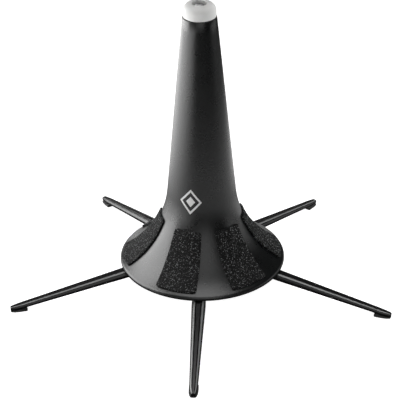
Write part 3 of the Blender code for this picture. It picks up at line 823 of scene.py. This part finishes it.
def pale_fibre():
    """The loose fibres on the felt, from black to pale grey; the pale grey is partly a painted glint."""
    material, tree, bsdf = new_material("pale_fibre", Roughness=0.45, Sheen_Weight=0.3)
    where = shader_node(tree, "ShaderNodeTexCoord")
    strand = shader_node(tree, "ShaderNodeTexNoise", Scale=700.0, Detail=1.0)
    tree.links.new(where.outputs["Object"], strand.inputs["Vector"])
    # Real loose fibres, whose pale end of the colour range is partly a painted glint.
    tree.links.new(mixed(tree, strand.outputs["Fac"], (0.012, 0.012, 0.012), (0.42, 0.43, 0.43)),
                   bsdf.inputs["Base Color"])
    return material


PAD_TURNS = (-107.6, -49.9, 7.5, 70.0, 130.0, 187.4)     # degrees, as glued by hand
PAD_TOP_Z, PAD_BOTTOM_Z = 0.0500, 0.0224
PAD_TOP_WIDTH, PAD_BOTTOM_WIDTH = 0.0172, 0.0262
PAD_THICK = 0.00125
PAD_CORNER = 0.0016
PAD_SOFT_EDGE = 0.00045                  # how far in the cut edge rounds over
NAP_FINE, NAP_COARSE = 0.00016, 0.00008
PAD_COLUMNS, PAD_ROWS, PROFILE_STEPS = 56, 72, 900
GLUE = 0.00006                           # the back stands this far off the cone
FIBRES, FIBRE_ROOT = 260, 0.0001         # the root starts this far inside the nap
FIBRE_REACH, FIBRE_CURL, FIBRE_THICK = (0.0004, 0.0010), (0.15, 0.6), (0.00003, 0.00005)


def flare_profile(steps):
    """Points (radius and height, outward normal) down the flare, at even steps of turning."""
    upper, lower, flare_end = flare_arcs()
    points = []
    for i in range(steps + 1):
        turn = TAPER + (flare_end - TAPER) * i / steps
        centre, radius = (upper, UPPER_ARC_R) if turn < ARC_CHANGE else (lower, LOWER_ARC_R)
        outward = Vector((math.cos(turn), math.sin(turn)))
        points.append((centre - outward * radius, outward))
    return points


def down_the_flare(first_z, last_z, rows):
    """Points evenly spaced along the flare's surface between two heights."""
    kept = [p for p in flare_profile(PROFILE_STEPS) if last_z <= p[0].y + p[1].y * PAD_THICK <= first_z]
    run = [0.0]
    for (a, _), (b, _) in zip(kept, kept[1:]):
        run.append(run[-1] + (b - a).length)
    result, i = [], 0
    for j in range(rows + 1):
        goal = run[-1] * j / rows
        while i < len(run) - 2 and run[i + 1] < goal:
            i += 1
        share = (goal - run[i]) / (run[i + 1] - run[i])
        result.append((kept[i][0].lerp(kept[i + 1][0], share), kept[i][1].lerp(kept[i + 1][1], share)))
    return result, run[-1]


def pad_builder(turn, seed):
    """One felt strip: a napped top, rounded cut edges and a flat glued back."""
    draw = random.Random(seed)
    shift = Vector((seed * 7.3, seed * 3.1, 0.0))
    line, length = down_the_flare(PAD_TOP_Z, PAD_BOTTOM_Z, PAD_ROWS)
    builder = bmesh.new()
    top, back, spots = [], [], []

    def lifted(place, normal, bearing, lift):
        radius = place.x + normal.x * lift
        return Vector((axis.x + radius * math.cos(bearing), axis.y + radius * math.sin(bearing),
                       place.y + normal.y * lift))

    for j, (place, normal) in enumerate(line):
        down = length * j / PAD_ROWS
        end = min(down, length - down)
        half = (PAD_TOP_WIDTH + (PAD_BOTTOM_WIDTH - PAD_TOP_WIDTH) * j / PAD_ROWS) / 2
        if end < PAD_CORNER:
            half -= PAD_CORNER - math.sqrt(PAD_CORNER ** 2 - (PAD_CORNER - end) ** 2)
        top_row, back_row = [], []
        for i in range(PAD_COLUMNS + 1):
            across = 2 * i / PAD_COLUMNS - 1
            uneven = 0.00022 * noise.noise(Vector((down * 420, 3.0 * across, seed)))
            side = across * (half + uneven * abs(across) ** 8)
            edge = min(end, half - abs(side))
            soft = min(max(edge / PAD_SOFT_EDGE, 0.0), 1.0)
            spot = Vector((side, down, 0.0)) + shift
            nap = NAP_FINE * noise.noise(spot * 2300) + NAP_COARSE * noise.noise(spot * 600)
            lift = (PAD_THICK + nap) * (0.62 + 0.38 * math.sqrt(1 - (1 - soft) ** 2))
            bearing = turn + side / (place.x + PAD_THICK)
            spots.append((place, normal, bearing, lift))
            top_row.append(builder.verts.new(lifted(place, normal, bearing, lift)))
            back_row.append(builder.verts.new(lifted(place, normal, bearing, GLUE)))
        top.append(top_row)
        back.append(back_row)
    for j in range(PAD_ROWS):
        for i in range(PAD_COLUMNS):
            builder.faces.new((top[j][i], top[j + 1][i], top[j + 1][i + 1], top[j][i + 1]))
            builder.faces.new((back[j][i + 1], back[j + 1][i + 1], back[j + 1][i], back[j][i]))
        for i in (0, PAD_COLUMNS):
            builder.faces.new((top[j][i], back[j][i], back[j + 1][i], top[j + 1][i]))
    for i in range(PAD_COLUMNS):
        for j in (0, PAD_ROWS):
            builder.faces.new((top[j][i], top[j][i + 1], back[j][i + 1], back[j][i]))
    for face in builder.faces:
        face.smooth = True

    for _ in range(FIBRES):
        place, normal, bearing, lift = spots[draw.randrange(len(spots))]
        root = lifted(place, normal, bearing, lift - FIBRE_ROOT)
        out = (lifted(place, normal, bearing, lift + 0.001) - root).normalized()
        around = out.cross(Vector((math.cos(bearing), math.sin(bearing), 0.3))).normalized()
        lean = Matrix.Rotation(draw.uniform(0, math.tau), 3, out) @ around
        reach, curl = draw.uniform(*FIBRE_REACH), draw.uniform(*FIBRE_CURL)
        thick = draw.uniform(*FIBRE_THICK)
        rings = []
        for k, share in enumerate((0.0, 0.5, 1.0)):
            centre = root + lean * reach * share + out * reach * curl * math.sin(share * 2.4)
            spin = [Matrix.Rotation(math.tau * c / 3, 3, lean) @ out for c in range(3)]
            rings.append([builder.verts.new(centre + s * thick * (1 - 0.55 * share)) for s in spin])
        faces = [builder.faces.new(rings[0]), builder.faces.new(rings[2])]
        for ring_a, ring_b in zip(rings, rings[1:]):
            faces += [builder.faces.new((ring_a[c - 1], ring_a[c], ring_b[c], ring_b[c - 1]))
                      for c in range(3)]
        for face in faces:
            face.material_index = 1
    return builder


fibre = pale_fibre()
for number, degrees in enumerate(PAD_TURNS, 1):
    pad = object_from(f"felt_strip_{number}", pad_builder(math.radians(degrees), number), black_felt)
    pad.data.materials.append(fibre)
    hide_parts(f"felt_pad_{number}")
    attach(pad, "cone")


# ---------------------------------------------------------------------------- cap
# A white moulded cap closes the cone's nose and guides the bell over it. Its shoulder is
# domed, and a round recess in its top hides the screw.
CAP_SHOULDER = 0.0042
CAP_HOLE_R, CAP_HOLE_EDGE, CAP_RECESS = 0.0042, 0.0004, 0.0034
CAP_BORE_R, RECESS_EASE = 0.0021, 0.0002
CAP_STEPS = 96


def white_moulding():
    """White plastic that lets a little light in, dull and rubbed at its edges."""
    material, tree, bsdf = new_material("cap_white", IOR=1.5, Specular_IOR_Level=0.18,
                                        Subsurface_Weight=0.15, Subsurface_Scale=0.002)
    bsdf.inputs["Subsurface Radius"].default_value = (1.0, 0.95, 0.9)
    skin = placed_group(tree, MOULD_GRAIN, Scale=1500.0, Mottle_Scale=160.0)
    rub = placed_group(tree, WORN_EDGE, Radius=0.0006)
    tone = mixed(tree, skin.outputs["Mottle"], (0.80, 0.80, 0.785), (0.86, 0.86, 0.85))
    tree.links.new(mixed(tree, rub.outputs["Mask"], tone, (0.70, 0.69, 0.66)), bsdf.inputs["Base Color"])
    tree.links.new(between(tree, skin.outputs["Mottle"], 0.48, 0.60), bsdf.inputs["Roughness"])
    bumped(tree, bsdf, skin.outputs["Height"], 0.3, 0.00003)
    return material


cap_low, cap_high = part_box("top_cap")
cap_r = (cap_high.x - cap_low.x) / 2
recess_z = cap_high.z - CAP_RECESS
cap_outline = arc((CAP_HOLE_R + CAP_HOLE_EDGE, cap_high.z - CAP_HOLE_EDGE), CAP_HOLE_EDGE,
                  math.pi, math.pi / 2, 4)
cap_outline += arc((cap_r - CAP_SHOULDER, cap_high.z - CAP_SHOULDER), CAP_SHOULDER,
                   math.pi / 2, 0.0, 18)
cap_outline += [(cap_r, cap_low.z + EDGE_EASE), (cap_r - EASE_MIDDLE, cap_low.z + EASE_MIDDLE),
                (cap_r - EDGE_EASE, cap_low.z), (CAP_BORE_R, cap_low.z), (CAP_BORE_R, recess_z),
                (CAP_HOLE_R - RECESS_EASE, recess_z), (CAP_HOLE_R, recess_z + RECESS_EASE)]
cap = smooth_shaded(object_from("cap_moulding", turned(cap_outline, CAP_STEPS), white_moulding()), 35.0)
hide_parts("top_cap")
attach(cap, "cone")


# ---------------------------------------------------------------------------- cap screw
# A steel pan-head screw and a washer hold the cap down, at the bottom of the cap's recess.
# The head is domed and has a punched cross, and the shank goes down into the cone's post.
SCREW_STEPS = 64
SCREW_HEAD_R, SCREW_SHANK_R, HEAD_RIM = 0.0032, 0.0015, 0.0004
HEAD_GAP = 0.0003                        # between the washer and the head
SCREW_POINT, THREAD_END = 0.0015, 0.0022 # lengths up from the screw's tip
CROSS_LENGTH, CROSS_WIDTH, CROSS_DEPTH, CROSS_TAPER = 0.0034, 0.0007, 0.0010, 0.6
THREAD_START, THREAD_PITCH, THREAD_DEPTH = 0.0002, 0.0007, 0.00022
WASHER_EDGE = 0.00012

# The cap's screw and washer steel is much darker than the pins: steel, partly painted shade of the recess
# it sits in.
cap_steel = drawn_steel("cap_steel", (0.32, 0.32, 0.32), 0.45, 1100.0)
washer_low, washer_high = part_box("cap_washer")
washer_r = (washer_high.x - washer_low.x) / 2
washer_outline = [(CAP_BORE_R, washer_low.z), (CAP_BORE_R, washer_high.z),
                  (washer_r - WASHER_EDGE, washer_high.z), (washer_r, washer_high.z - WASHER_EDGE),
                  (washer_r, washer_low.z + WASHER_EDGE), (washer_r - WASHER_EDGE, washer_low.z)]
washer = object_from("cap_washer_ring", turned(washer_outline, SCREW_STEPS), cap_steel)
smooth_shaded(washer)
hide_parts("cap_washer")
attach(washer, "cone")

screw_low, screw_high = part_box("cap_screw")
head_low = washer_high.z + HEAD_GAP
dome = screw_high.z - head_low - HEAD_RIM
screw_outline = [(0.0, screw_high.z)]
screw_outline += [(SCREW_HEAD_R * math.sin(turn), head_low + HEAD_RIM + dome * math.cos(turn))
                  for turn in (i * math.pi / 24 for i in range(1, 13))]
screw_outline += [(SCREW_HEAD_R - EASE_MIDDLE, head_low), (SCREW_SHANK_R, head_low)]
height = head_low - THREAD_START
while height > screw_low.z + THREAD_END:
    screw_outline += [(SCREW_SHANK_R, height), (SCREW_SHANK_R - THREAD_DEPTH, height - THREAD_PITCH / 2)]
    height -= THREAD_PITCH
screw_outline += [(SCREW_SHANK_R - THREAD_DEPTH, screw_low.z + SCREW_POINT), (0.0, screw_low.z)]
screw = object_from("cap_screw_turned", turned(screw_outline, SCREW_STEPS), cap_steel)
for sides in ((CROSS_LENGTH, CROSS_WIDTH), (CROSS_WIDTH, CROSS_LENGTH)):
    punch = bmesh.new()
    bmesh.ops.create_cube(punch, size=1.0)
    middle = Vector((axis.x, axis.y, screw_high.z))
    for corner in punch.verts:
        narrow = CROSS_TAPER if corner.co.z < 0 else 1.0
        corner.co = middle + Vector((corner.co.x * sides[0] * narrow, corner.co.y * sides[1] * narrow,
                                     corner.co.z * 2 * CROSS_DEPTH))
    cut_or_join(screw, "DIFFERENCE", punch)
smooth_shaded(screw)
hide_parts("cap_screw")
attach(screw, "cone")
